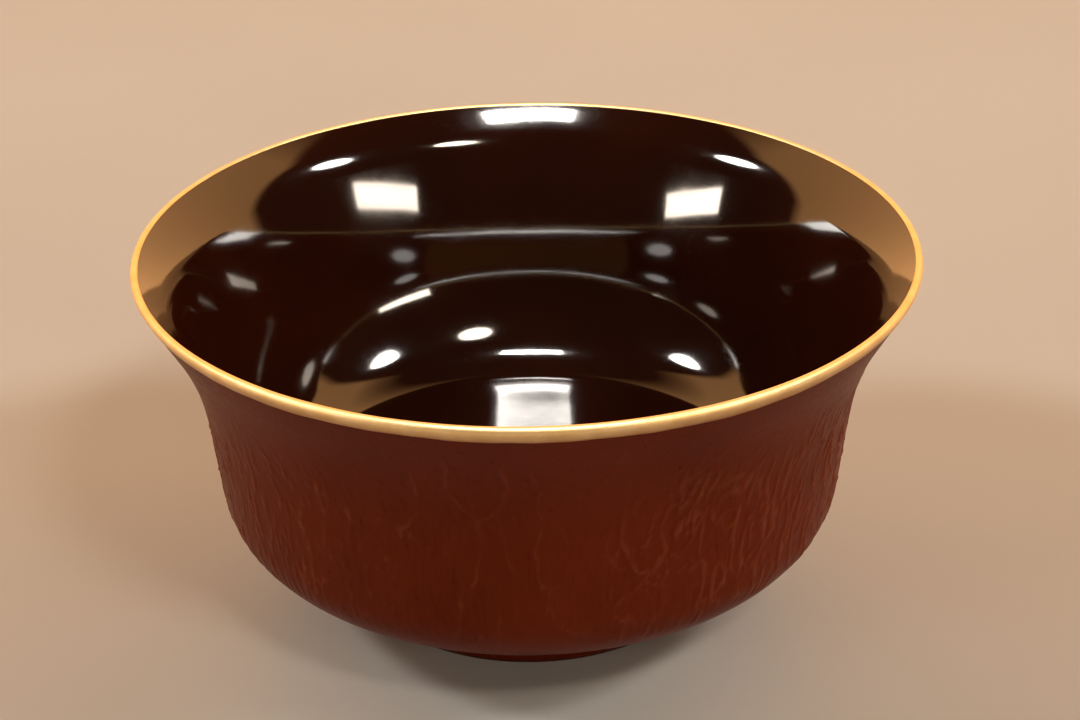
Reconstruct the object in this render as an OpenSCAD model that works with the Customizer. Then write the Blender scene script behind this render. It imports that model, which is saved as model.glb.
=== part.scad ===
// Lacquered serving bowl: a turned wooden body under coats of ground and lacquer,
// with a flared gilded lip and a low foot ring. Every piece is a body of revolution
// about Z, standing on Z = 0 with the axis through the origin.
//
// Slopes are measured in the radial plane, upwards from level, on a line that runs
// away from the axis: 90 is a vertical wall and 0 is a flat floor.

/* [Rim] */
// Diameter over the gilded rim
rim_d = 210; // [196:1:224]
// Height from the table to the top of the rim
bowl_h = 101.5; // [96:0.5:110]
// Thickness of the rounded lip, without its gold
lip_t = 2.2; // [2:0.1:3]
// Slope of the lip's outer face
lip_out_slope = 60; // [56:1:66]
// Slope of the lip's inner face, at the rim
lip_in_slope = 41; // [38:1:46]
// Length of the lip's straight outer face
lip_len = 14; // [10:1:18]

/* [Outside] */
// Radius of the flare between the wall and the lip
flare_r = 82; // [70:1:95]
// Slope of the wall
wall_slope = 83; // [80:1:87]
// Radius of the belly between the wall and the underside
belly_r = 21.5; // [16:0.5:26]
// Slope of the underside, from the foot to the belly
under_slope = 33; // [28:1:38]

/* [Inside] */
// Length of the lip's straight inner face
in_lip_len = 6.5; // [6:0.5:8]
// Radius of the turn below the lip
in_turn_r = 20; // [16:1:26]
// Slope where the turn runs into the wall
in_turn_slope = 66; // [63:1:69]
// Radius of the inner wall's flare below the turn
in_flare_r = 180; // [150:5:210]
// Steepest slope of the inner wall
in_wall_slope = 76; // [74:1:78]
// Radius of the bowl curve below the inner wall
in_bowl_r = 54; // [48:1:60]
// Slope where the bowl curve runs into the floor corner
in_corner_slope = 50; // [46:1:54]
// Radius of the floor corner
in_corner_r = 22; // [16:0.5:26]
// Slope of the dished floor at its edge
floor_slope = 10; // [6:1:14]

/* [Foot] */
// Outer diameter of the foot ring
foot_d = 96; // [86:1:104]
// Height of the foot ring's outer face
foot_h = 2.6; // [2:0.1:6]
// Width of the foot ring
foot_w = 4; // [3:0.5:6]
// Rounding of the foot ring's bearing edges
foot_round = 0.8; // [0.7:0.1:1.2]
// Depth of the recess inside the foot ring
recess_h = 8; // [5:0.5:11]
// Rounding of the recess corner
recess_round = 2; // [1:0.5:4]

/* [Coats] */
// Thickness of the outer lacquer
outer_lacquer_t = 0.2; // [0.1:0.05:0.3]
// Thickness of the relief ground under the outer lacquer
ground_t = 0.5; // [0.3:0.05:0.6]
// Thickness of the inner lacquer
inner_lacquer_t = 0.4; // [0.3:0.05:0.5]
// Thickness of the lacquer under the foot
foot_lacquer_t = 0.3; // [0.2:0.05:0.4]
// Thickness of the hemp cloth
cloth_t = 0.25; // [0.15:0.05:0.3]
// Height of the cloth inside the foot ring
foot_cloth_h = 4; // [3:0.5:5]
// Thickness of the gold
gold_t = 0.25; // [0.1:0.05:0.3]
// Length of the gold band down the lip's outer face
gold_len = 3; // [2:0.25:5]

/* [Hidden] */
$fn = 180;

// Steps along each arc of a section
arc_steps = 10;
nose_steps = 4;
round_steps = 6;

// Unit vectors along a slope, and square to it on the side of the axis
function along(a) = [cos(a), sin(a)];
function inward(a) = [-sin(a), cos(a)];

// Where the line through p with slope a crosses the line through q with slope b
function crossing(p, a, q, b) =
    p + along(a) * ((q - p) * inward(b)) / (along(a) * inward(b));

// Points of an arc about c from slope a to slope b; r is positive where the arc's
// centre lies on the inward side and negative where it lies on the outward side
function slope_arc(c, r, a, b, steps) =
    [for (i = [0:steps]) c - r * inward(a + (b - a) * i / steps)];

function reversed(v) = [for (i = [len(v) - 1:-1:0]) v[i]];

// The lip ends in a half round nose about this centre
nose_r = lip_t / 2;
nose = [rim_d / 2 - gold_t - nose_r, bowl_h - gold_t - nose_r];

// Outside, from the lip down: straight lip, flare, wall, belly, underside
out_cover_t = outer_lacquer_t + ground_t;
lip_end = nose - nose_r * inward(lip_out_slope);
lip_start = lip_end - lip_len * along(lip_out_slope);
flare_c = lip_start - flare_r * inward(lip_out_slope);
wall_top = flare_c + flare_r * inward(wall_slope);
foot_r = foot_d / 2;
foot_top = [foot_r, foot_h];
belly_corner = crossing(foot_top, under_slope, wall_top, wall_slope);
belly_run = belly_r * tan((wall_slope - under_slope) / 2);
belly_c = belly_corner + belly_run * along(wall_slope) + belly_r * inward(wall_slope);

// Inside, from the rim down: straight lip, turn, flare, bowl curve, floor corner, dished floor
in_lip_low = nose + nose_r * inward(lip_in_slope) - in_lip_len * along(lip_in_slope);
in_turn_c = in_lip_low - in_turn_r * inward(lip_in_slope);
in_flare_c = in_turn_c + (in_turn_r - in_flare_r) * inward(in_turn_slope);
in_bowl_c = in_flare_c + (in_flare_r + in_bowl_r) * inward(in_wall_slope);
in_corner_c = in_bowl_c - (in_bowl_r - in_corner_r) * inward(in_corner_slope);
floor_edge = in_corner_c - in_corner_r * inward(floor_slope);
floor_r = floor_edge[0] / sin(floor_slope);
floor_c = floor_edge + floor_r * inward(floor_slope);

// Foot ring: its inner face, and the centres of its roundings
foot_in_r = foot_r - foot_w;
foot_out_c = [foot_r - foot_round, foot_round];
foot_in_c = [foot_in_r + foot_round, foot_round];
recess_c = [foot_in_r - recess_round, recess_h - recess_round];

// Nose of the lip at depth t: up its outer side to the top, where the outer and inner
// lacquers meet, and from there down its inner side
function nose_out(t) = concat(
    slope_arc(nose, nose_r - t, lip_out_slope, 90, nose_steps),
    slope_arc(nose, nose_r - t, 90, 180, nose_steps));
function nose_in(t) = slope_arc(nose, nose_r - t, 180, 180 + lip_in_slope, nose_steps);

// Outside surface at depth t, from the foot ring up to the straight lip
function out_body(t) = concat(
    [[foot_r - t, foot_round]],
    [crossing([foot_r - t, 0], 90, foot_top + t * inward(under_slope), under_slope)],
    slope_arc(belly_c, belly_r - t, under_slope, wall_slope, arc_steps),
    slope_arc(flare_c, -flare_r - t, wall_slope, lip_out_slope, arc_steps));

// Straight lip outside at depth t, upwards
function out_lip(t) = [lip_start + t * inward(lip_out_slope), lip_end + t * inward(lip_out_slope)];

// Inside surface at depth t, from the axis up to the cloth, and on to the nose
function in_body(t) = concat(
    slope_arc(floor_c, floor_r + t, 0, floor_slope, arc_steps),
    slope_arc(in_corner_c, in_corner_r + t, floor_slope, in_corner_slope, arc_steps),
    slope_arc(in_bowl_c, in_bowl_r + t, in_corner_slope, in_wall_slope, arc_steps),
    slope_arc(in_flare_c, t - in_flare_r, in_wall_slope, in_turn_slope, arc_steps));
function in_lip(t) = concat(
    slope_arc(in_turn_c, t - in_turn_r, in_turn_slope, lip_in_slope, arc_steps),
    [nose + (nose_r - t) * inward(lip_in_slope)]);

// Foot ring's surface at depth t: round its bearing edge, from inside to outside
function foot_edge(t) = concat(
    slope_arc(foot_in_c, foot_round - t, -90, 0, round_steps),
    slope_arc(foot_out_c, foot_round - t, 0, 90, round_steps));

// Recess at depth t, from the axis out to the foot ring's inner face
function recess(t) = concat(
    [[0, recess_h + t]],
    slope_arc(recess_c, -recess_round - t, 0, -90, round_steps));

// Ring with the given section
module ring(points) {
    rotate_extrude() polygon(points);
}

// Ring between two lines of section
module coat(surface, back) {
    ring(concat(surface, reversed(back)));
}

// Turned wooden body: wall, floor and foot ring in one piece
module wood_core() {
    foot_t = foot_lacquer_t + cloth_t;
    in_t = inner_lacquer_t + cloth_t;
    color("burlywood")
        ring(concat(
            recess(foot_lacquer_t),
            [[foot_in_r + foot_lacquer_t, foot_cloth_h], [foot_in_r + foot_t, foot_cloth_h]],
            foot_edge(foot_t),
            out_body(out_cover_t),
            out_lip(out_cover_t + cloth_t),
            reversed(in_lip(in_t)),
            reversed(in_body(inner_lacquer_t))));
}

// Hemp cloth folded over the wooden lip
module rim_cloth() {
    out_back = out_lip(out_cover_t + cloth_t);
    in_back = in_lip(inner_lacquer_t + cloth_t);
    color("tan")
        ring(concat(
            out_lip(out_cover_t),
            nose_out(out_cover_t),
            nose_in(inner_lacquer_t),
            reversed(in_lip(inner_lacquer_t)),
            in_back,
            reversed(out_back)));
}

// Hemp cloth wrapped round the foot ring
module foot_cloth() {
    back_t = foot_lacquer_t + cloth_t;
    color("tan")
        coat(
            concat([[foot_in_r + foot_lacquer_t, foot_cloth_h]], foot_edge(foot_lacquer_t)),
            concat([[foot_in_r + back_t, foot_cloth_h]], foot_edge(back_t)));
}

// Paste ground that carries the bark relief of the outside
module relief_ground() {
    color("saddlebrown")
        coat(
            concat(out_body(outer_lacquer_t), out_lip(outer_lacquer_t), nose_out(outer_lacquer_t)),
            concat(out_body(out_cover_t), out_lip(out_cover_t), nose_out(out_cover_t)));
}

// Satin red-brown lacquer of the outside
module outer_lacquer() {
    color([0.32, 0.10, 0.05])
        coat(
            concat(out_body(0), out_lip(0), nose_out(0)),
            concat(out_body(outer_lacquer_t), out_lip(outer_lacquer_t), nose_out(outer_lacquer_t)));
}

// Glossy dark lacquer of the inside
module inner_lacquer() {
    color([0.12, 0.05, 0.03])
        coat(
            concat(in_body(0), in_lip(0), reversed(nose_in(0))),
            concat(in_body(inner_lacquer_t), in_lip(inner_lacquer_t),
                   reversed(nose_in(inner_lacquer_t))));
}

// Lacquer of the foot ring's bearing edge and of the recess inside it
module foot_lacquer() {
    color([0.10, 0.04, 0.03])
        coat(
            concat(recess(0), foot_edge(0)),
            concat(recess(foot_lacquer_t), foot_edge(foot_lacquer_t)));
}

// Gold laid over the nose of the lip and a little way down its outer face
module gold_rim() {
    band_low = lip_end - gold_len * along(lip_out_slope);
    color("gold")
        coat(
            concat([band_low - gold_t * inward(lip_out_slope)], nose_out(-gold_t), nose_in(-gold_t)),
            concat([band_low], nose_out(0), nose_in(0)));
}

wood_core();
rim_cloth();
foot_cloth();
relief_ground();
outer_lacquer();
inner_lacquer();
foot_lacquer();
gold_rim();
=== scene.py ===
# Lacquered bowl: four finished coats are rebuilt with their real surface, and the wood,
# the cloths and the ground under them keep the CAD shape. All lengths are in metres.
import math

import bmesh
import bpy
import numpy as np
from mathutils import Matrix, Vector


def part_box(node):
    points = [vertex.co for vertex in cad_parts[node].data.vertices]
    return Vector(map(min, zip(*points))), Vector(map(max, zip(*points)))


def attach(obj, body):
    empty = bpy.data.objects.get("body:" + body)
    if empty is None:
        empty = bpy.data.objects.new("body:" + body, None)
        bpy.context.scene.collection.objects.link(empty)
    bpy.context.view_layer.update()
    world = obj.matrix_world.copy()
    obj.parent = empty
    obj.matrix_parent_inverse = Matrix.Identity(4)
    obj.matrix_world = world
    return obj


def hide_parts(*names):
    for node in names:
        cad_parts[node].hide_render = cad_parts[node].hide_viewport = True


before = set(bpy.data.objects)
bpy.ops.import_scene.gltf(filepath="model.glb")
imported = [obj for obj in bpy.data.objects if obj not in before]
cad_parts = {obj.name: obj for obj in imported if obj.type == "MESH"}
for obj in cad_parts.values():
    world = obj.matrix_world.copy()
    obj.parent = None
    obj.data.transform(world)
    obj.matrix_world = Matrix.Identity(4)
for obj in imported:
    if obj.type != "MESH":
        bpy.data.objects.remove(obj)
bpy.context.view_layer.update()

MM = 0.001
RIM_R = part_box("gold_rim")[1].x
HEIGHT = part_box("gold_rim")[1].z
FOOT_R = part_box("foot_lacquer")[1].x

# Thickness of each coat and the shape of the section, as in the CAD
GOLD_T = 0.25 * MM
OUTER_T = 0.2 * MM
INNER_T = 0.4 * MM
FOOT_T = 0.3 * MM
LIP_T = 2.2 * MM
LIP_OUT, LIP_IN = 60, 41
LIP_LEN = 14 * MM
GOLD_LEN = 3 * MM
FLARE_R = 82 * MM
WALL_SLOPE = 83
BELLY_R = 21.5 * MM
UNDER_SLOPE = 33
IN_LIP_LEN = 6.5 * MM
IN_TURN_R = 20 * MM
IN_TURN_SLOPE = 66
# Degrees by which the lip's inner face is steeper than LIP_IN at its lower end; at its upper
# end it is flatter by 0.9 of that
LIP_BEND = 3
IN_FLARE_R = 180 * MM
IN_WALL_SLOPE = 76
IN_BOWL_R = 54 * MM
IN_CORNER_SLOPE = 50
IN_CORNER_R = 22 * MM
FLOOR_SLOPE = 10
FOOT_H = 2.6 * MM
# Length of the fillet on each side of the corner above the foot
FILLET = 0.9 * MM
FOOT_W = 4 * MM
FOOT_ROUND = 0.8 * MM
RECESS_H = 8 * MM
RECESS_ROUND = 2 * MM

# Radius at which widths on the wall are measured
WALL_R = 87 * MM
# Columns round the bowl of each mesh
OUTER_COLUMNS = 1120
INNER_COLUMNS = 384
GOLD_COLUMNS = 720
FOOT_COLUMNS = 480

# Deepest hollow and highest point of the relief, in mm
RELIEF_LOW, RELIEF_HIGH = -0.1, 0.6
# It ends about RELIEF_TOP above the table, after fading over RELIEF_FADE. Below BELLY_TOP it
# is left out where the wall is too flat
RELIEF_TOP = 84 * MM
RELIEF_FADE = 22 * MM
BELLY_TOP = 40 * MM
# Part of a turn by which the strong relief leans from foot to lip
LEAN = 0.008
# The small drops lie this far along the section, and each one reaches this far
DROP_COUNT = 1700
DROP_BAND = (0.048, 0.112)
DROP_REACH = 2.5 * MM
DROP_COLUMNS = 6

# Gold: where its seam lies, the length over which its edge thins out, its least thickness
SEAM_DEG = -1.5
SEAM_WIDTH = 0.55 * MM
GOLD_EDGE = 0.9 * MM
GOLD_LEAST = 0.01 * MM


# ---------------------------------------------------------------- section of the bowl
def along(a):
    return np.array([math.cos(math.radians(a)), math.sin(math.radians(a))])


def inward(a):
    return np.array([-math.sin(math.radians(a)), math.cos(math.radians(a))])


def crossing(p, a, q, b):
    return p + along(a) * ((q - p) @ inward(b)) / (along(a) @ inward(b))


def arc(c, r, a, b, steps):
    """Points of an arc from slope a to slope b, each with its slope."""
    out = []
    for i in range(steps + 1):
        s = a + (b - a) * i / steps
        p = c - r * inward(s)
        out.append((p[0], p[1], s))
    return out


def straight(p, q, a, steps):
    """Points strictly between p and q, on a line of slope a."""
    return [(*(p + (q - p) * i / steps), a) for i in range(1, steps)]


def bezier(a, corner, b, u):
    return (1 - u) ** 2 * a + 2 * u * (1 - u) * corner + u * u * b


nose_r = LIP_T / 2
nose = np.array([RIM_R - GOLD_T - nose_r, HEIGHT - GOLD_T - nose_r])
lip_end = nose - nose_r * inward(LIP_OUT)
lip_start = lip_end - LIP_LEN * along(LIP_OUT)
flare_c = lip_start - FLARE_R * inward(LIP_OUT)
wall_top = flare_c + FLARE_R * inward(WALL_SLOPE)
foot_top = np.array([FOOT_R, FOOT_H])
belly_corner = crossing(foot_top, UNDER_SLOPE, wall_top, WALL_SLOPE)
belly_run = BELLY_R * math.tan(math.radians(WALL_SLOPE - UNDER_SLOPE) / 2)
belly_c = belly_corner + belly_run * along(WALL_SLOPE) + BELLY_R * inward(WALL_SLOPE)

in_lip_low = nose + nose_r * inward(LIP_IN) - IN_LIP_LEN * along(LIP_IN)
in_turn_c = in_lip_low - IN_TURN_R * inward(LIP_IN)
in_flare_c = in_turn_c + (IN_TURN_R - IN_FLARE_R) * inward(IN_TURN_SLOPE)
in_bowl_c = in_flare_c + (IN_FLARE_R + IN_BOWL_R) * inward(IN_WALL_SLOPE)
in_corner_c = in_bowl_c - (IN_BOWL_R - IN_CORNER_R) * inward(IN_CORNER_SLOPE)
floor_edge = in_corner_c - IN_CORNER_R * inward(FLOOR_SLOPE)
floor_r = floor_edge[0] / math.sin(math.radians(FLOOR_SLOPE))
floor_c = floor_edge + floor_r * inward(FLOOR_SLOPE)

foot_in_r = FOOT_R - FOOT_W
foot_out_c = np.array([FOOT_R - FOOT_ROUND, FOOT_ROUND])
foot_in_c = np.array([foot_in_r + FOOT_ROUND, FOOT_ROUND])
recess_c = np.array([foot_in_r - RECESS_ROUND, RECESS_H - RECESS_ROUND])


def outside(t, fine):
    """Outer surface at depth t from the foot ring to the top of the lip; fine sets how many
    rows the relief zone gets."""
    corner = crossing(
        np.array([FOOT_R - t, 0]), 90, foot_top + t * inward(UNDER_SLOPE), UNDER_SLOPE)
    low = np.array([FOOT_R - t, FOOT_ROUND])
    belly = arc(belly_c, BELLY_R - t, UNDER_SLOPE, WALL_SLOPE, 14 if fine else 7)
    flare = arc(flare_c, -FLARE_R - t, WALL_SLOPE, LIP_OUT, 26 if fine else 7)
    pts = [(low[0], low[1], 90)]
    if fine:
        # The corner above the foot ring is a small hollow, filled by the lacquer
        a, b = corner - FILLET * along(90), corner + FILLET * along(UNDER_SLOPE)
        for k in range(5):
            u = k / 4
            p = bezier(a, corner, b, u)
            pts.append((p[0], p[1], 90 + (UNDER_SLOPE - 90) * u))
        pts += straight(b, np.array(belly[0][:2]), UNDER_SLOPE, 5)
    else:
        pts.append((corner[0], corner[1], UNDER_SLOPE))
    pts += belly
    if fine:
        pts += straight(np.array(belly[-1][:2]), np.array(flare[0][:2]), WALL_SLOPE, 18)
    pts += flare
    top = lip_end + t * inward(LIP_OUT)
    if fine:
        pts += straight(np.array(flare[-1][:2]), top, LIP_OUT, 5)
    pts += arc(nose, nose_r - t, LIP_OUT, 180, 7 if fine else 5)
    return pts


def inside(t, fine):
    """Inner surface at depth t from the axis to the top of the lip."""
    n = 3 if fine else 1
    turn = arc(in_turn_c, t - IN_TURN_R, IN_TURN_SLOPE, LIP_IN + LIP_BEND, 6 * n)[1:]
    # The lip's inner face is not quite straight: it bends a little between turn and nose
    a, b = np.array(turn[-1][:2]), nose + (nose_r - t) * inward(LIP_IN)
    mid = crossing(a, LIP_IN + LIP_BEND, b, LIP_IN - 0.9 * LIP_BEND)
    face = []
    for k in range(1, 6 * n):
        u = k / (6 * n)
        p = bezier(a, mid, b, u)
        face.append((p[0], p[1], LIP_IN + LIP_BEND * (1 - 1.9 * u)))
    return (
        arc(floor_c, floor_r + t, 0, FLOOR_SLOPE, 10 * n)
        + arc(in_corner_c, IN_CORNER_R + t, FLOOR_SLOPE, IN_CORNER_SLOPE, 6 * n)[1:]
        + arc(in_bowl_c, IN_BOWL_R + t, IN_CORNER_SLOPE, IN_WALL_SLOPE, 8 * n)[1:]
        + arc(in_flare_c, t - IN_FLARE_R, IN_WALL_SLOPE, IN_TURN_SLOPE, 6 * n)[1:]
        + turn + face
        + arc(nose, nose_r - t, 180 + LIP_IN, 180, 4 * n)
    )


def foot_bottom(t, n):
    """Recess and bearing edge of the foot at depth t, from the axis outwards."""
    flat = np.array([recess_c[0], RECESS_H + t])
    pts = [(0.0, RECESS_H + t, 0)]
    pts += straight(np.array([0.0, RECESS_H + t]), flat, 0, 4 * n)
    pts += arc(recess_c, -RECESS_ROUND - t, 0, -90, 3 * n)
    pts += arc(foot_in_c, FOOT_ROUND - t, -90, 0, 3 * n)
    pts += arc(foot_out_c, FOOT_ROUND - t, 0, 90, 3 * n)
    return pts


# ---------------------------------------------------------------- seeded noise on the wall
def ramp(x, a, b):
    t = np.clip((x - a) / (b - a), 0, 1)
    return t * t * (3 - 2 * t)


def wave(turn, s, count, pitch, seed):
    """Smooth noise from -1 to 1: count cells round the bowl, and cells of length pitch
    along the wall. turn is from 0 to 1 round the bowl."""
    table = np.random.default_rng(seed).uniform(-1, 1, (count, 97))
    x, y = turn * count, s / pitch + 40
    ix, iy = np.floor(x).astype(int), np.floor(y).astype(int)
    fx, fy = x - ix, y - iy
    fx, fy = fx * fx * (3 - 2 * fx), fy * fy * (3 - 2 * fy)

    def at(i, j):
        return table[i % count, j % 97]

    low = at(ix, iy) * (1 - fx) + at(ix + 1, iy) * fx
    high = at(ix, iy + 1) * (1 - fx) + at(ix + 1, iy + 1) * fx
    return low * (1 - fy) + high * fy


def bark(turn, s, count, pitch, width, seed, gone=0.3):
    """Raised lines between long upright cells, as between plates of bark. gone is the share
    of the lines that are missing."""
    rng = np.random.default_rng(seed)
    rows = 61
    off = rng.uniform(-0.42, 0.42, (count, rows, 2))
    mark = rng.uniform(0, 1, (count, rows))
    cell = 2 * math.pi * WALL_R / count
    x, y = turn * count, s / pitch + 20
    ix, iy = np.floor(x).astype(int), np.floor(y).astype(int)
    best = np.full(x.shape, 9e9)
    second = best.copy()
    b = [np.zeros(x.shape) for _ in range(6)]
    for dx in (-2, -1, 0, 1, 2):
        for dy in (-2, -1, 0, 1, 2):
            i, j = ix + dx, iy + dy
            o = off[i % count, j % rows]
            px = i + 0.5 + o[..., 0]
            py = j + 0.5 + o[..., 1] + 0.5 * (i % 2)
            m = mark[i % count, j % rows]
            d = (x - px) ** 2 + (y - py) ** 2
            near = d < best
            mid = ~near & (d < second)
            second = np.where(near, best, np.where(mid, d, second))
            for k, v in enumerate((px, py, m)):
                b[k + 3] = np.where(near, b[k], np.where(mid, v, b[k + 3]))
                b[k] = np.where(near, v, b[k])
            best = np.where(near, d, best)
    gap = (second - best) / 2
    slope = np.hypot((b[0] - b[3]) / cell, (b[1] - b[4]) / pitch)
    dist = gap / np.maximum(slope, 1e-9)
    keep = ramp((b[2] + b[5]) % 1, gone, gone + 0.35)
    return keep * np.exp(-((dist / width) ** 2))


def stroke(az, z, path, width, height):
    """A single raised thread of lacquer along a path of (azimuth in degrees, height in mm)."""
    out = np.zeros(az.shape)
    for (a0, z0), (a1, z1) in zip(path[:-1], path[1:]):
        ax, ay = math.radians(a0) * WALL_R, z0 * MM
        dx, dy = math.radians(a1 - a0) * WALL_R, (z1 - z0) * MM
        x = ((az + math.pi) % (2 * math.pi) - math.pi) * WALL_R - ax
        y = z - ay
        t = np.clip((x * dx + y * dy) / (dx * dx + dy * dy), 0, 1)
        d = np.hypot(x - t * dx, y - t * dy)
        out = np.maximum(out, np.exp(-((d / width) ** 2)))
    return out * height


# ---------------------------------------------------------------- meshes
def make_object(name, verts, faces):
    mesh = bpy.data.meshes.new(name)
    mesh.from_pydata(verts, [], faces)
    mesh.validate()
    b = bmesh.new()
    b.from_mesh(mesh)
    if b.calc_volume(signed=True) < 0:
        bmesh.ops.reverse_faces(b, faces=b.faces)
    b.to_mesh(mesh)
    b.free()
    mesh.polygons.foreach_set("use_smooth", [True] * len(mesh.polygons))
    obj = bpy.data.objects.new(name, mesh)
    bpy.context.scene.collection.objects.link(obj)
    return obj


def lathe(name, front, back, columns, lift=None):
    """Closed ring between two lines of section. Where both start on the axis, the piece is
    a closed disc. lift(azimuth, front) gives how far the front stands out."""
    az = np.arange(columns) * 2 * math.pi / columns - math.pi
    rim = np.array(front)
    r = np.repeat(rim[None, :, 0], columns, 0)
    z = np.repeat(rim[None, :, 1], columns, 0)
    high = np.zeros(r.shape)
    if lift is not None:
        high = lift(az, rim)
        a = np.radians(rim[:, 2])
        r = r + high * np.sin(a)
        z = z - high * np.cos(a)
    rear = np.array(back)[::-1]
    r = np.concatenate([r, np.repeat(rear[None, :, 0], columns, 0)], 1)
    z = np.concatenate([z, np.repeat(rear[None, :, 1], columns, 0)], 1)
    high = np.concatenate([high, np.zeros((columns, len(rear)))], 1)
    poles = front[0][0] < 1e-9 and back[0][0] < 1e-9
    rows = r.shape[1]
    keep = list(range(rows))
    if poles:
        keep = keep[1:-1]
    x, y = r * np.sin(az)[:, None], -r * np.cos(az)[:, None]
    grid = np.stack([x, y, z], 2)[:, keep]
    n = len(keep)
    verts = grid.reshape(-1, 3)
    values = high[:, keep].reshape(-1)
    i = np.arange(columns)[:, None]
    j = np.arange(n - 1 if poles else n)[None, :]
    i2, j2 = (i + 1) % columns, (j + 1) % n
    faces = np.stack([i * n + j, i2 * n + j, i2 * n + j2, i * n + j2], 2).reshape(-1, 4).tolist()
    if poles:
        first, last = len(verts), len(verts) + 1
        verts = np.concatenate([verts, [[0, 0, front[0][1]], [0, 0, back[0][1]]]])
        values = np.concatenate([values, [0, 0]])
        for k in range(columns):
            k2 = (k + 1) % columns
            faces.append([first, k2 * n, k * n])
            faces.append([last, k * n + n - 1, k2 * n + n - 1])
    obj = make_object(name, verts.tolist(), faces)
    if lift is not None:
        raised = obj.data.attributes.new("raised", "FLOAT", "POINT")
        raised.data.foreach_set("value", (values / MM).astype(np.float32))
    return obj


# ---------------------------------------------------------------- relief of the outside
def relief(az, rim):
    """How far the outside stands out, in metres, at each azimuth and each point of the section."""
    s_line = np.concatenate([[0], np.cumsum(np.hypot(*np.diff(rim[:, :2], axis=0).T))])
    a, s = np.meshgrid(az, s_line, indexing="ij")
    z = np.repeat(rim[None, :, 1], len(az), 0)
    slope = np.repeat(rim[None, :, 2], len(az), 0)
    turn = (a / (2 * math.pi)) % 1.0
    deg = np.degrees(a)

    # The threads wander: the whole pattern is pushed sideways a little
    push = 1.1 * MM * wave(turn, s, 60, 7 * MM, 1)
    push = push + 0.5 * MM * wave(turn, s, 150, 3 * MM, 2)
    moved = (turn + push / (2 * math.pi * WALL_R)) % 1.0

    # Around the bowl the relief changes between fine, open and strong
    patch = wave(turn, s, 9, 60 * MM, 3)
    front = ramp(np.cos(a), 0.15, 0.35)
    fine = ramp(-deg, 14, 30) * front + (1 - front) * ramp(-patch, -0.1, 0.25)
    strong = ramp(deg, 8, 20) * front + (1 - front) * ramp(patch, -0.1, 0.25)
    open_ = np.clip(1 - fine - strong, 0, 1)

    lean = (moved - LEAN * ramp(s, 0, 0.12) * strong) % 1.0
    high = (
        open_ * 0.14 * bark(moved, s, 62, 21 * MM, 0.55 * MM, 4, 0.25)
        + open_ * 0.08 * bark(moved, s, 130, 12 * MM, 0.6 * MM, 5, 0.4)
        + fine * 0.18 * bark(moved, s, 196, 9 * MM, 0.6 * MM, 6, 0.3)
        + strong * 0.28 * bark(lean, s, 168, 11 * MM, 0.62 * MM, 7, 0.25)
        + strong * 0.15 * bark(lean, s, 97, 6 * MM, 0.6 * MM, 8, 0.5)
    )
    high += (fine + strong) * 0.05 * wave(moved, s, 330, 8 * MM, 9)
    high += 0.05 * wave(turn, s, 110, 5 * MM, 10) * (0.4 + fine + strong)

    # Small drops
    rng = np.random.default_rng(11)
    columns = len(az)
    drops = np.zeros(high.shape)
    for _ in range(DROP_COUNT):
        a0, s0 = rng.uniform(-math.pi, math.pi), rng.uniform(*DROP_BAND)
        size, up = rng.uniform(0.42, 0.75) * MM, rng.uniform(0.16, 0.44)
        c = int((a0 + math.pi) / (2 * math.pi) * columns)
        near = np.arange(c - DROP_COLUMNS, c + DROP_COLUMNS + 1) % columns
        band = np.nonzero(np.abs(s_line - s0) < DROP_REACH)[0]
        da = (az[near] - a0 + math.pi) % (2 * math.pi) - math.pi
        d2 = (da[:, None] * WALL_R) ** 2 + (s_line[band][None, :] - s0) ** 2
        spot = up * np.exp(-d2 / size**2)
        idx = np.ix_(near, band)
        drops[idx] = np.maximum(drops[idx], spot)
    high += drops * (0.15 + 0.85 * np.clip(fine + strong, 0, 1))

    # It starts above the turn of the belly and dies out towards the lip
    level = s * 0
    edge = RELIEF_TOP + 6 * MM * wave(turn, level, 40, 1, 12)
    edge = edge + 5 * MM * wave(turn, level, 11, 1, 13)
    body = ramp(slope + 3 * wave(turn, level, 70, 1, 14), 52, 63)
    body[z > BELLY_TOP] = 1
    high *= body * (1 - ramp(z, edge - RELIEF_FADE, edge))

    # Threads and knots of the front: they swell and thin out along their way
    broken = 0.72 + 0.42 * wave(turn, s, 230, 3.5 * MM, 15)
    for path, width, up in FRONT_THREADS:
        thread = stroke(moved * 2 * math.pi, z, path, width * MM, up * broken)
        high = np.maximum(high, thread)
    for (ka, kz), size, up in FRONT_KNOTS:
        d = np.hypot((a - math.radians(ka)) * WALL_R, z - kz * MM)
        high = high + up * np.exp(-(((d - size * MM) / (0.5 * MM)) ** 2))
        high = high - 0.5 * up * np.exp(-((d / (size * MM)) ** 2))
    return np.clip(high, RELIEF_LOW, RELIEF_HIGH) * MM


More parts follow.
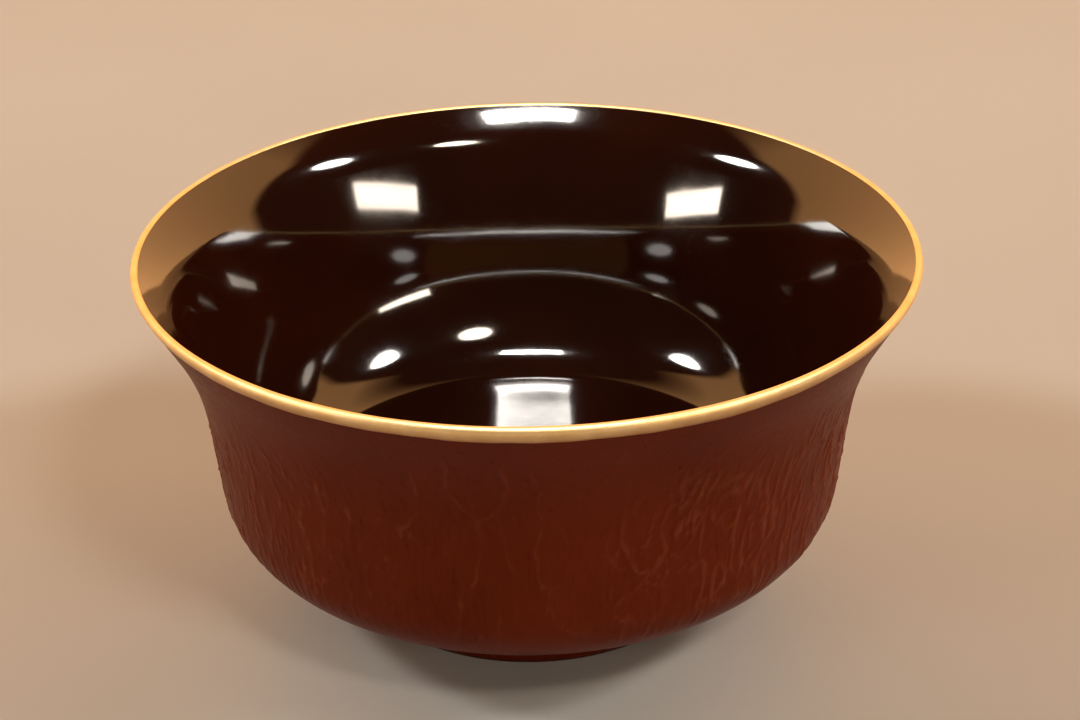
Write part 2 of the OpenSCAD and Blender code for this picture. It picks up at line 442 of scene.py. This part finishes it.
# Path of each thread in (degrees round the bowl, mm above the table), its width and height
FRONT_THREADS = (
    (((-12.5, 88), (-12, 78), (-10, 72), (-8.5, 67)), 0.5, 0.34),
    (((-4, 87), (-4, 80), (-4.5, 72), (-6.5, 69), (-8.5, 67)), 0.5, 0.32),
    (((-8.5, 67), (-8.5, 59), (-9, 49), (-10.5, 47)), 0.5, 0.3),
    (((-8, 81), (-8.5, 72), (-8.5, 67)), 0.45, 0.2),
    (((-0.5, 85), (1.5, 77), (1.5, 68), (1, 59), (1, 52), (2, 47)), 0.5, 0.3),
    (((5, 48), (3, 46), (3, 40), (4, 36), (6.5, 32), (9.5, 31)), 0.5, 0.34),
    (((-5, 66), (-4, 58), (-2.5, 52)), 0.45, 0.24),
    (((-17.5, 83), (-17, 74), (-17.5, 68), (-19.5, 64), (-22, 62)), 0.5, 0.36),
    (((14, 60), (16, 54), (17.5, 49), (20.5, 47)), 0.6, 0.46),
    (((12, 56), (14, 51), (15, 50)), 0.6, 0.4),
    (((19, 45), (21.5, 43), (24, 42)), 0.55, 0.38),
    (((13.5, 93), (12, 83), (10, 76), (6, 75)), 0.55, 0.22),
    (((13.5, 36), (15.5, 34), (18.5, 33)), 0.6, 0.38),
    (((30, 35), (32.5, 33), (34.5, 33)), 0.6, 0.4),
    (((-2.5, 44), (-3, 35), (-4.5, 33), (-7, 33)), 0.45, 0.24),
    (((-12.5, 63), (-13.5, 54), (-14, 46)), 0.45, 0.18),
    (((31.5, 70), (33.5, 71), (36, 71)), 0.9, 0.42),
    (((14.5, 80), (14.5, 73), (14, 60)), 0.45, 0.16),
)
# Centre of each knot, its radius and height
FRONT_KNOTS = (
    ((-20.5, 61), 1.3, 0.34), ((2, 47.5), 0.5, 0.3), ((-12, 41), 0.4, 0.26), ((-9, 31), 0.4, 0.26),
    ((20, 65.5), 0.6, 0.26), ((-28.5, 49.5), 0.5, 0.28),
)


# ---------------------------------------------------------------- gold band
def gold_low(az):
    """How much longer the band is than in the CAD, round the rim: its edge is laid by hand."""
    return MM * (
        0.25 * np.sin(3 * az + 0.8)
        + 0.16 * np.sin(11 * az + 2.1)
        + 0.10 * np.sin(29 * az)
        + 0.06 * np.sin(67 * az + 1.3)
    )


def gold_mesh():
    """Gold band: a rounded coat over the nose, thinning to nothing at its two edges."""
    columns = GOLD_COLUMNS
    verts = []
    seam = math.radians(SEAM_DEG)
    for a in np.arange(columns) * 2 * math.pi / columns - math.pi:
        length = GOLD_LEN + float(gold_low(a))
        thick = GOLD_T * (0.8 + 0.06 * math.sin(7 * a) + 0.05 * math.sin(23 * a + 1))
        lap = math.exp(-(((a - seam) * RIM_R / SEAM_WIDTH) ** 2))
        thick = min(thick * (1 + 0.2 * lap), GOLD_T)
        sect, back = [], []
        for i in range(10):
            u = i / 9
            p = lip_end - length * (1 - u) * along(LIP_OUT)
            t = thick * min(1, (u * length / GOLD_EDGE)) ** 0.5
            sect.append(p - max(t, GOLD_LEAST) * inward(LIP_OUT))
            back.append(p)
        for i in range(1, 19):
            s = LIP_OUT + (180 + LIP_IN - LIP_OUT) * i / 18
            t = thick * (1 - ramp(np.array(s), 192, 180 + LIP_IN) * 0.93)
            sect.append(nose - (nose_r + float(t)) * inward(s))
            back.append(nose - nose_r * inward(s))
        for p in sect + back[::-1]:
            verts.append((p[0] * math.sin(a), -p[0] * math.cos(a), p[1]))
    rows = len(verts) // columns
    faces = []
    for i in range(columns):
        i2 = (i + 1) % columns
        for j in range(rows):
            j2 = (j + 1) % rows
            faces.append((i * rows + j, i2 * rows + j, i2 * rows + j2, i * rows + j2))
    return make_object("gold_band", verts, faces)


# ---------------------------------------------------------------- materials
def new_material(name):
    mat = bpy.data.materials.new(name)
    mat.use_nodes = True
    nt = mat.node_tree
    return mat, nt, nt.nodes["Principled BSDF"]


def put(nt, kind, links=None, **values):
    """A node with its sockets set; links maps a socket to the output that feeds it."""
    node = nt.nodes.new(kind)
    for key, value in values.items():
        if hasattr(node, key):
            setattr(node, key, value)
        else:
            node.inputs[key].default_value = value
    for key, out in (links or {}).items():
        nt.links.new(out, node.inputs[key])
    return node


def place(nt, scale):
    """Object coordinates in metres times scale."""
    coords = put(nt, "ShaderNodeTexCoord")
    mapping = put(nt, "ShaderNodeMapping", {"Vector": coords.outputs["Object"]}, Scale=scale)
    return mapping.outputs[0]


def height_above_table(nt):
    coords = put(nt, "ShaderNodeTexCoord").outputs["Object"]
    return put(nt, "ShaderNodeSeparateXYZ", {"Vector": coords}).outputs["Z"]


def noise(nt, scale, detail=3.0, rough=0.5, spread=(1, 1, 1)):
    where = place(nt, tuple(scale * k for k in spread))
    n = put(nt, "ShaderNodeTexNoise", {"Vector": where}, Scale=1.0, Detail=detail, Roughness=rough)
    return n.outputs["Fac"]


def remap(nt, value, a, b, c, d):
    n = put(nt, "ShaderNodeMapRange", {"Value": value})
    for key, v in (("From Min", a), ("From Max", b), ("To Min", c), ("To Max", d)):
        n.inputs[key].default_value = v
    return n.outputs["Result"]


def blend_colours(nt, fac, stops):
    n = put(nt, "ShaderNodeValToRGB", {"Fac": fac})
    els = n.color_ramp.elements
    while len(els) < len(stops):
        els.new(0.5)
    for el, (pos, col) in zip(els, stops):
        el.position = pos
        el.color = (*col, 1)
    return n.outputs["Color"]


def mix_colours(nt, fac, a, b, kind="MIX"):
    n = put(nt, "ShaderNodeMix", data_type="RGBA", blend_type=kind)
    sockets = [s for s in n.inputs if s.type == "RGBA"]
    for s, v in zip(sockets, (a, b)):
        if isinstance(v, bpy.types.NodeSocket):
            nt.links.new(v, s)
        else:
            s.default_value = (*v, 1)
    f = [s for s in n.inputs if s.name == "Factor" and s.type == "VALUE"][0]
    if isinstance(fac, bpy.types.NodeSocket):
        nt.links.new(fac, f)
    else:
        f.default_value = fac
    return [s for s in n.outputs if s.type == "RGBA"][0]


def combine(nt, op, a, b):
    n = put(nt, "ShaderNodeMath", operation=op)
    for s, v in zip(n.inputs, (a, b)):
        if isinstance(v, bpy.types.NodeSocket):
            nt.links.new(v, s)
        else:
            s.default_value = v
    return n.outputs[0]


def bump(nt, bsdf, height, distance, strength=1.0):
    n = put(nt, "ShaderNodeBump", {"Height": height}, Distance=distance, Strength=strength)
    nt.links.new(n.outputs["Normal"], bsdf.inputs["Normal"])


def outer_material():
    """Satin red-brown lacquer, lighter on the raised threads as a painted highlight, so that the
    hollows stay darker as painted shade.
    """
    mat, nt, b = new_material("lacquer_satin_red")
    raised = put(nt, "ShaderNodeAttribute", attribute_name="raised").outputs["Fac"]
    cloud = noise(nt, 28, 3, 0.55, (1, 1, 0.5))
    streak = noise(nt, 900, 3, 0.6, (1, 1, 0.12))
    fleck = noise(nt, 1500, 2, 0.5)
    base = blend_colours(
        nt, cloud, ((0.3, (0.082, 0.0092, 0.0012)), (0.7, (0.106, 0.0130, 0.0020))))
    base = mix_colours(nt, remap(nt, streak, 0.35, 0.7, 0.0, 0.35), base, (0.130, 0.0180, 0.0036))
    # Painted highlight: the colour goes lighter, towards pale red-brown, where the relief stands
    # highest
    base = mix_colours(nt, remap(nt, raised, 0.08, 0.40, 0.0, 0.42), base, (0.21, 0.050, 0.022))
    nt.links.new(base, b.inputs["Base Color"])
    rough = remap(nt, streak, 0.3, 0.75, 0.27, 0.42)
    nt.links.new(rough, b.inputs["Roughness"])
    b.inputs["Specular IOR Level"].default_value = 0.1
    b.inputs["IOR"].default_value = 1.3
    tall = combine(nt, "ADD", streak, combine(nt, "MULTIPLY", fleck, 0.35))
    bump(nt, b, tall, 0.00012, 0.7)
    return mat


def inner_material():
    """Polished dark brown lacquer with the slight waves of brushed and rubbed coats."""
    mat, nt, b = new_material("lacquer_gloss_dark")
    cloud = noise(nt, 22, 2, 0.5)
    base = blend_colours(
        nt, cloud, ((0.3, (0.015, 0.0028, 0.0008)), (0.7, (0.023, 0.0042, 0.0011))))
    nt.links.new(base, b.inputs["Base Color"])
    haze = noise(nt, 60, 4, 0.6)
    hair = noise(nt, 2600, 1, 0.4, (1, 1, 0.05))
    hazy, hairy = remap(nt, haze, 0.4, 0.75, 0.06, 0.10), remap(nt, hair, 0.68, 0.8, 0.0, 0.10)
    rough = combine(nt, "ADD", hazy, hairy)
    nt.links.new(rough, b.inputs["Roughness"])
    b.inputs["IOR"].default_value = 1.6
    b.inputs["Specular IOR Level"].default_value = 0.5
    b.inputs["Coat Weight"].default_value = 0.35
    b.inputs["Coat Roughness"].default_value = 0.05
    wavy = noise(nt, 95, 2, 0.4, (1, 1, 0.8))
    bump(nt, b, wavy, 0.00003, 0.6)
    return mat


def gold_material():
    """Laid gold: soft lustre, fine rubbing marks round the rim, darker and redder towards its
    lower edge.
    """
    mat, nt, b = new_material("gold_leaf")
    cloud = noise(nt, 160, 3, 0.5)
    grain = noise(nt, 2600, 2, 0.5)
    base = blend_colours(nt, cloud, ((0.25, (0.86, 0.58, 0.25)), (0.75, (0.94, 0.70, 0.36))))
    base = mix_colours(nt, remap(nt, grain, 0.62, 0.75, 0, 0.3), base, (0.75, 0.44, 0.15))
    # The gold colour turns darker and redder towards its lower edge, along a ragged line
    height = height_above_table(nt)
    ragged = combine(nt, "ADD", height, combine(nt, "MULTIPLY", cloud, 0.0012))
    toward_lower_edge = remap(nt, ragged, HEIGHT - 0.0042, HEIGHT - 0.0008, 0.85, 0.0)
    base = mix_colours(nt, toward_lower_edge, base, (0.42, 0.155, 0.045))
    nt.links.new(base, b.inputs["Base Color"])
    b.inputs["Metallic"].default_value = 1.0
    nt.links.new(remap(nt, grain, 0.3, 0.7, 0.42, 0.55), b.inputs["Roughness"])
    tall = combine(nt, "ADD", noise(nt, 420, 2, 0.5), combine(nt, "MULTIPLY", grain, 0.3))
    bump(nt, b, tall, 0.00006, 0.5)
    return mat


def foot_material():
    """Lacquer of the foot, gone dull and slightly lighter where it stands on tables."""
    mat, nt, b = new_material("lacquer_foot")
    height = height_above_table(nt)
    cloud = noise(nt, 40, 3, 0.5)
    rub = noise(nt, 700, 4, 0.65)
    base = blend_colours(
        nt, cloud, ((0.3, (0.030, 0.0050, 0.0020)), (0.7, (0.045, 0.0075, 0.0028))))
    low = remap(nt, height, 0.0, 0.0007, 1.0, 0.0)
    worn = combine(nt, "MULTIPLY", low, remap(nt, rub, 0.35, 0.6, 0.1, 1.0))
    base = mix_colours(nt, worn, base, (0.13, 0.030, 0.012))
    nt.links.new(base, b.inputs["Base Color"])
    rough = combine(
        nt, "ADD", remap(nt, cloud, 0.3, 0.7, 0.12, 0.2), combine(nt, "MULTIPLY", worn, 0.3))
    nt.links.new(rough, b.inputs["Roughness"])
    b.inputs["Specular IOR Level"].default_value = 0.45
    tall = combine(nt, "ADD", noise(nt, 110, 2, 0.5), combine(nt, "MULTIPLY", rub, 0.25))
    bump(nt, b, tall, 0.00005, 0.6)
    return mat


def wood_material():
    """Turned close-grained wood: growth rings of the plank the blank was cut from."""
    mat, nt, b = new_material("turned_wood")
    where = place(nt, (1.0, 0.16, 1.0))
    warp = put(nt, "ShaderNodeTexNoise", {"Vector": where}, Scale=40.0, Detail=3.0)
    rings = put(
        nt, "ShaderNodeTexWave", {"Vector": where}, wave_type="BANDS",
        bands_direction="DIAGONAL", Scale=95.0, Distortion=5.0, Detail=3.0)
    pores = noise(nt, 1900, 2, 0.6, (1, 0.06, 1))
    base = blend_colours(
        nt, rings.outputs["Fac"],
        ((0.1, (0.52, 0.33, 0.17)), (0.55, (0.42, 0.24, 0.11)), (0.9, (0.30, 0.155, 0.065))))
    pale = remap(nt, warp.outputs["Fac"], 0.4, 0.7, 0.0, 0.3)
    base = mix_colours(nt, pale, base, (0.58, 0.39, 0.21))
    base = mix_colours(nt, remap(nt, pores, 0.6, 0.72, 0.0, 0.6), base, (0.17, 0.08, 0.035))
    nt.links.new(base, b.inputs["Base Color"])
    nt.links.new(remap(nt, pores, 0.3, 0.7, 0.55, 0.75), b.inputs["Roughness"])
    bump(nt, b, pores, 0.00008, 0.5)
    return mat


THREADS_ROUND = 942.0
THREADS_UP = 9000.0


def cloth_material():
    """Hemp cloth soaked in lacquer: an open plain weave."""
    mat, nt, b = new_material("hemp_cloth")
    coords = put(nt, "ShaderNodeTexCoord").outputs["Object"]
    xyz = put(nt, "ShaderNodeSeparateXYZ", {"Vector": coords})
    turn = combine(nt, "ARCTAN2", xyz.outputs["Y"], xyz.outputs["X"])
    # 0.7 mm threads: round the rim, and up the wall
    weft = combine(nt, "SINE", combine(nt, "MULTIPLY", turn, THREADS_ROUND), 0.0)
    warp = combine(nt, "SINE", combine(nt, "MULTIPLY", xyz.outputs["Z"], THREADS_UP), 0.0)
    weave = combine(nt, "MULTIPLY", weft, warp)
    slub = noise(nt, 500, 3, 0.6)
    base = blend_colours(nt, slub, ((0.3, (0.32, 0.22, 0.12)), (0.7, (0.48, 0.36, 0.22))))
    base = mix_colours(nt, remap(nt, weave, -0.2, -0.9, 0.0, 0.7), base, (0.11, 0.05, 0.025))
    nt.links.new(base, b.inputs["Base Color"])
    nt.links.new(remap(nt, slub, 0.3, 0.7, 0.7, 0.9), b.inputs["Roughness"])
    bump(nt, b, weave, 0.00012, 0.8)
    return mat


def ground_material():
    """Paste of burnt clay and raw lacquer: dull, gritty, trowel-marked."""
    mat, nt, b = new_material("relief_ground")
    grit = noise(nt, 2200, 3, 0.65)
    drag = noise(nt, 320, 3, 0.5, (1, 1, 0.2))
    base = blend_colours(nt, drag, ((0.3, (0.075, 0.034, 0.018)), (0.7, (0.125, 0.060, 0.032))))
    base = mix_colours(nt, remap(nt, grit, 0.58, 0.72, 0.0, 0.6), base, (0.20, 0.12, 0.075))
    nt.links.new(base, b.inputs["Base Color"])
    nt.links.new(remap(nt, grit, 0.3, 0.7, 0.65, 0.9), b.inputs["Roughness"])
    bump(nt, b, combine(nt, "ADD", grit, drag), 0.0001, 0.8)
    return mat


def floor_material():
    """Plain pale floor."""
    mat, nt, b = new_material("pale_floor")
    cloud = noise(nt, 3.0, 3, 0.5)
    grain = noise(nt, 900, 2, 0.5)
    base = blend_colours(nt, cloud, ((0.3, (0.47, 0.47, 0.455)), (0.7, (0.505, 0.505, 0.49))))
    nt.links.new(base, b.inputs["Base Color"])
    nt.links.new(remap(nt, grain, 0.3, 0.7, 0.5, 0.6), b.inputs["Roughness"])
    b.inputs["Specular IOR Level"].default_value = 0.25
    bump(nt, b, grain, 0.00005, 0.3)
    return mat


# ---------------------------------------------------------------- pieces
def piece(obj, node, mat):
    obj.data.materials.append(mat)
    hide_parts(node)
    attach(obj, "root")
    return obj


outer = lathe("outer_skin", outside(0, True), outside(OUTER_T, False), OUTER_COLUMNS, relief)
piece(outer, "outer_lacquer", outer_material())

inner = lathe("inner_skin", inside(0, True), inside(INNER_T, False), INNER_COLUMNS)
piece(inner, "inner_lacquer", inner_material())

piece(gold_mesh(), "gold_rim", gold_material())

foot = lathe("foot_coat", foot_bottom(0, 3), foot_bottom(FOOT_T, 1), FOOT_COLUMNS)
piece(foot, "foot_lacquer", foot_material())

cloth = cloth_material()
carried_materials = {
    "wood_core": wood_material(),
    "rim_cloth": cloth,
    "foot_cloth": cloth,
    "relief_ground": ground_material(),
}
for node, mat in carried_materials.items():
    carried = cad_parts[node]
    carried.data.materials.clear()
    carried.data.materials.append(mat)


# ---------------------------------------------------------------- floor, light, camera
def make_floor():
    b = bmesh.new()
    bmesh.ops.create_grid(b, x_segments=12, y_segments=12, size=5.0)
    mesh = bpy.data.meshes.new("studio_floor")
    b.to_mesh(mesh)
    b.free()
    obj = bpy.data.objects.new("studio_floor", mesh)
    bpy.context.scene.collection.objects.link(obj)
    obj.location.z = -0.0001
    obj.data.materials.append(floor_material())


make_floor()

# The lamps face TARGET from FAR metres away
TARGET = Vector((0, 0, 0.085))
FAR = 8.0
WARM = (1.0, 0.86, 0.70)
DAY = (1.0, 0.95, 0.88)
# The world: the dim room, the glow along its horizon, the warm panel behind the bowl
ROOM = (0.035, 0.020, 0.012)
GLOW = (0.12, 0.06, 0.03)
PANEL = (1.9, 0.90, 0.32)


def softbox(name, azimuth, elevation, width, height, radiance, colour, roll=0.0, shape="ELLIPSE"):
    """Area light that faces TARGET, sizes in metres and angles in degrees. Azimuth 0 is on the
    camera's side and grows to the right."""
    a, e = math.radians(azimuth), math.radians(elevation)
    away = Vector((math.sin(a) * math.cos(e), -math.cos(a) * math.cos(e), math.sin(e)))
    data = bpy.data.lights.new(name, "AREA")
    data.shape = shape
    data.size, data.size_y = width, height
    data.energy = radiance * math.pi * width * height
    data.color = colour
    obj = bpy.data.objects.new(name, data)
    bpy.context.scene.collection.objects.link(obj)
    x = Vector((0, 0, 1)).cross(away).normalized()
    y = away.cross(x)
    c, s = math.cos(math.radians(roll)), math.sin(math.radians(roll))
    x2, y2 = x * c + y * s, y * c - x * s
    m = Matrix((x2, y2, away)).transposed().to_4x4()
    m.translation = TARGET + away * FAR
    obj.matrix_world = m
    return obj


softbox("lamp_right", 28, 48, 1.7, 1.0, 24, WARM)
softbox("side_right", 78, 42, 1.9, 1.25, 30, DAY, 10)
softbox("side_left", -86, 41, 1.9, 1.3, 30, DAY, 10)
softbox("window_right", 51, 16.5, 3.1, 0.74, 22, WARM, shape="RECTANGLE")
softbox("window_left", -62, 13.8, 2.8, 0.7, 22, WARM, shape="RECTANGLE")
overhead = softbox("overhead", -4, 78.0, 2.15, 0.85, 120, DAY, shape="RECTANGLE")
# The overhead lamp is bright enough to show after two reflections: it lights no dull surface
overhead.visible_diffuse = False


def make_world():
    """Dim room with a broad warm panel of light behind the bowl."""
    world = bpy.data.worlds.new("studio")
    world.use_nodes = True
    bpy.context.scene.world = world
    nt = world.node_tree
    coords = put(nt, "ShaderNodeTexCoord").outputs["Generated"]
    xyz = put(nt, "ShaderNodeSeparateXYZ", {"Vector": coords})
    x, y, z = (xyz.outputs[k] for k in "XYZ")
    squares = combine(nt, "ADD", combine(nt, "MULTIPLY", x, x), combine(nt, "MULTIPLY", y, y))
    flat = combine(nt, "SQRT", squares, 0)
    behind = remap(nt, combine(nt, "DIVIDE", y, flat), 0.19, 0.27, 0.0, 1.0)
    low = remap(nt, z, 0.74, 0.88, 1.0, 0.0)
    panel = combine(nt, "MULTIPLY", behind, low)
    glow = remap(nt, z, 0.0, 0.14, 1.0, 0.0)
    room = mix_colours(nt, glow, ROOM, GLOW)
    colour = mix_colours(nt, panel, room, PANEL)
    nt.links.new(colour, nt.nodes["Background"].inputs["Color"])


make_world()

CAMERA_AT = (0, -0.6461, 0.3910)
CAMERA_DOWN_DEG = 26.65
CAMERA_YAW, CAMERA_ROLL = 0.0049, -0.0146
CAMERA_LENS = 88.4


def make_camera():
    data = bpy.data.cameras.new("camera")
    data.sensor_width = 36
    data.lens = CAMERA_LENS
    data.clip_start, data.clip_end = 0.01, 50
    obj = bpy.data.objects.new("camera", data)
    bpy.context.scene.collection.objects.link(obj)
    down, yaw, roll = math.radians(CAMERA_DOWN_DEG), CAMERA_YAW, CAMERA_ROLL
    level = math.cos(down)
    ahead = Vector((math.sin(yaw) * level, math.cos(yaw) * level, -math.sin(down)))
    right = ahead.cross(Vector((0, 0, 1))).normalized()
    up = right.cross(ahead)
    r2 = right * math.cos(roll) + up * math.sin(roll)
    u2 = up * math.cos(roll) - right * math.sin(roll)
    m = Matrix((r2, u2, -ahead)).transposed().to_4x4()
    m.translation = Vector(CAMERA_AT)
    obj.matrix_world = m
    bpy.context.scene.camera = obj


make_camera()
bpy.context.scene.view_settings.view_transform = "Standard"
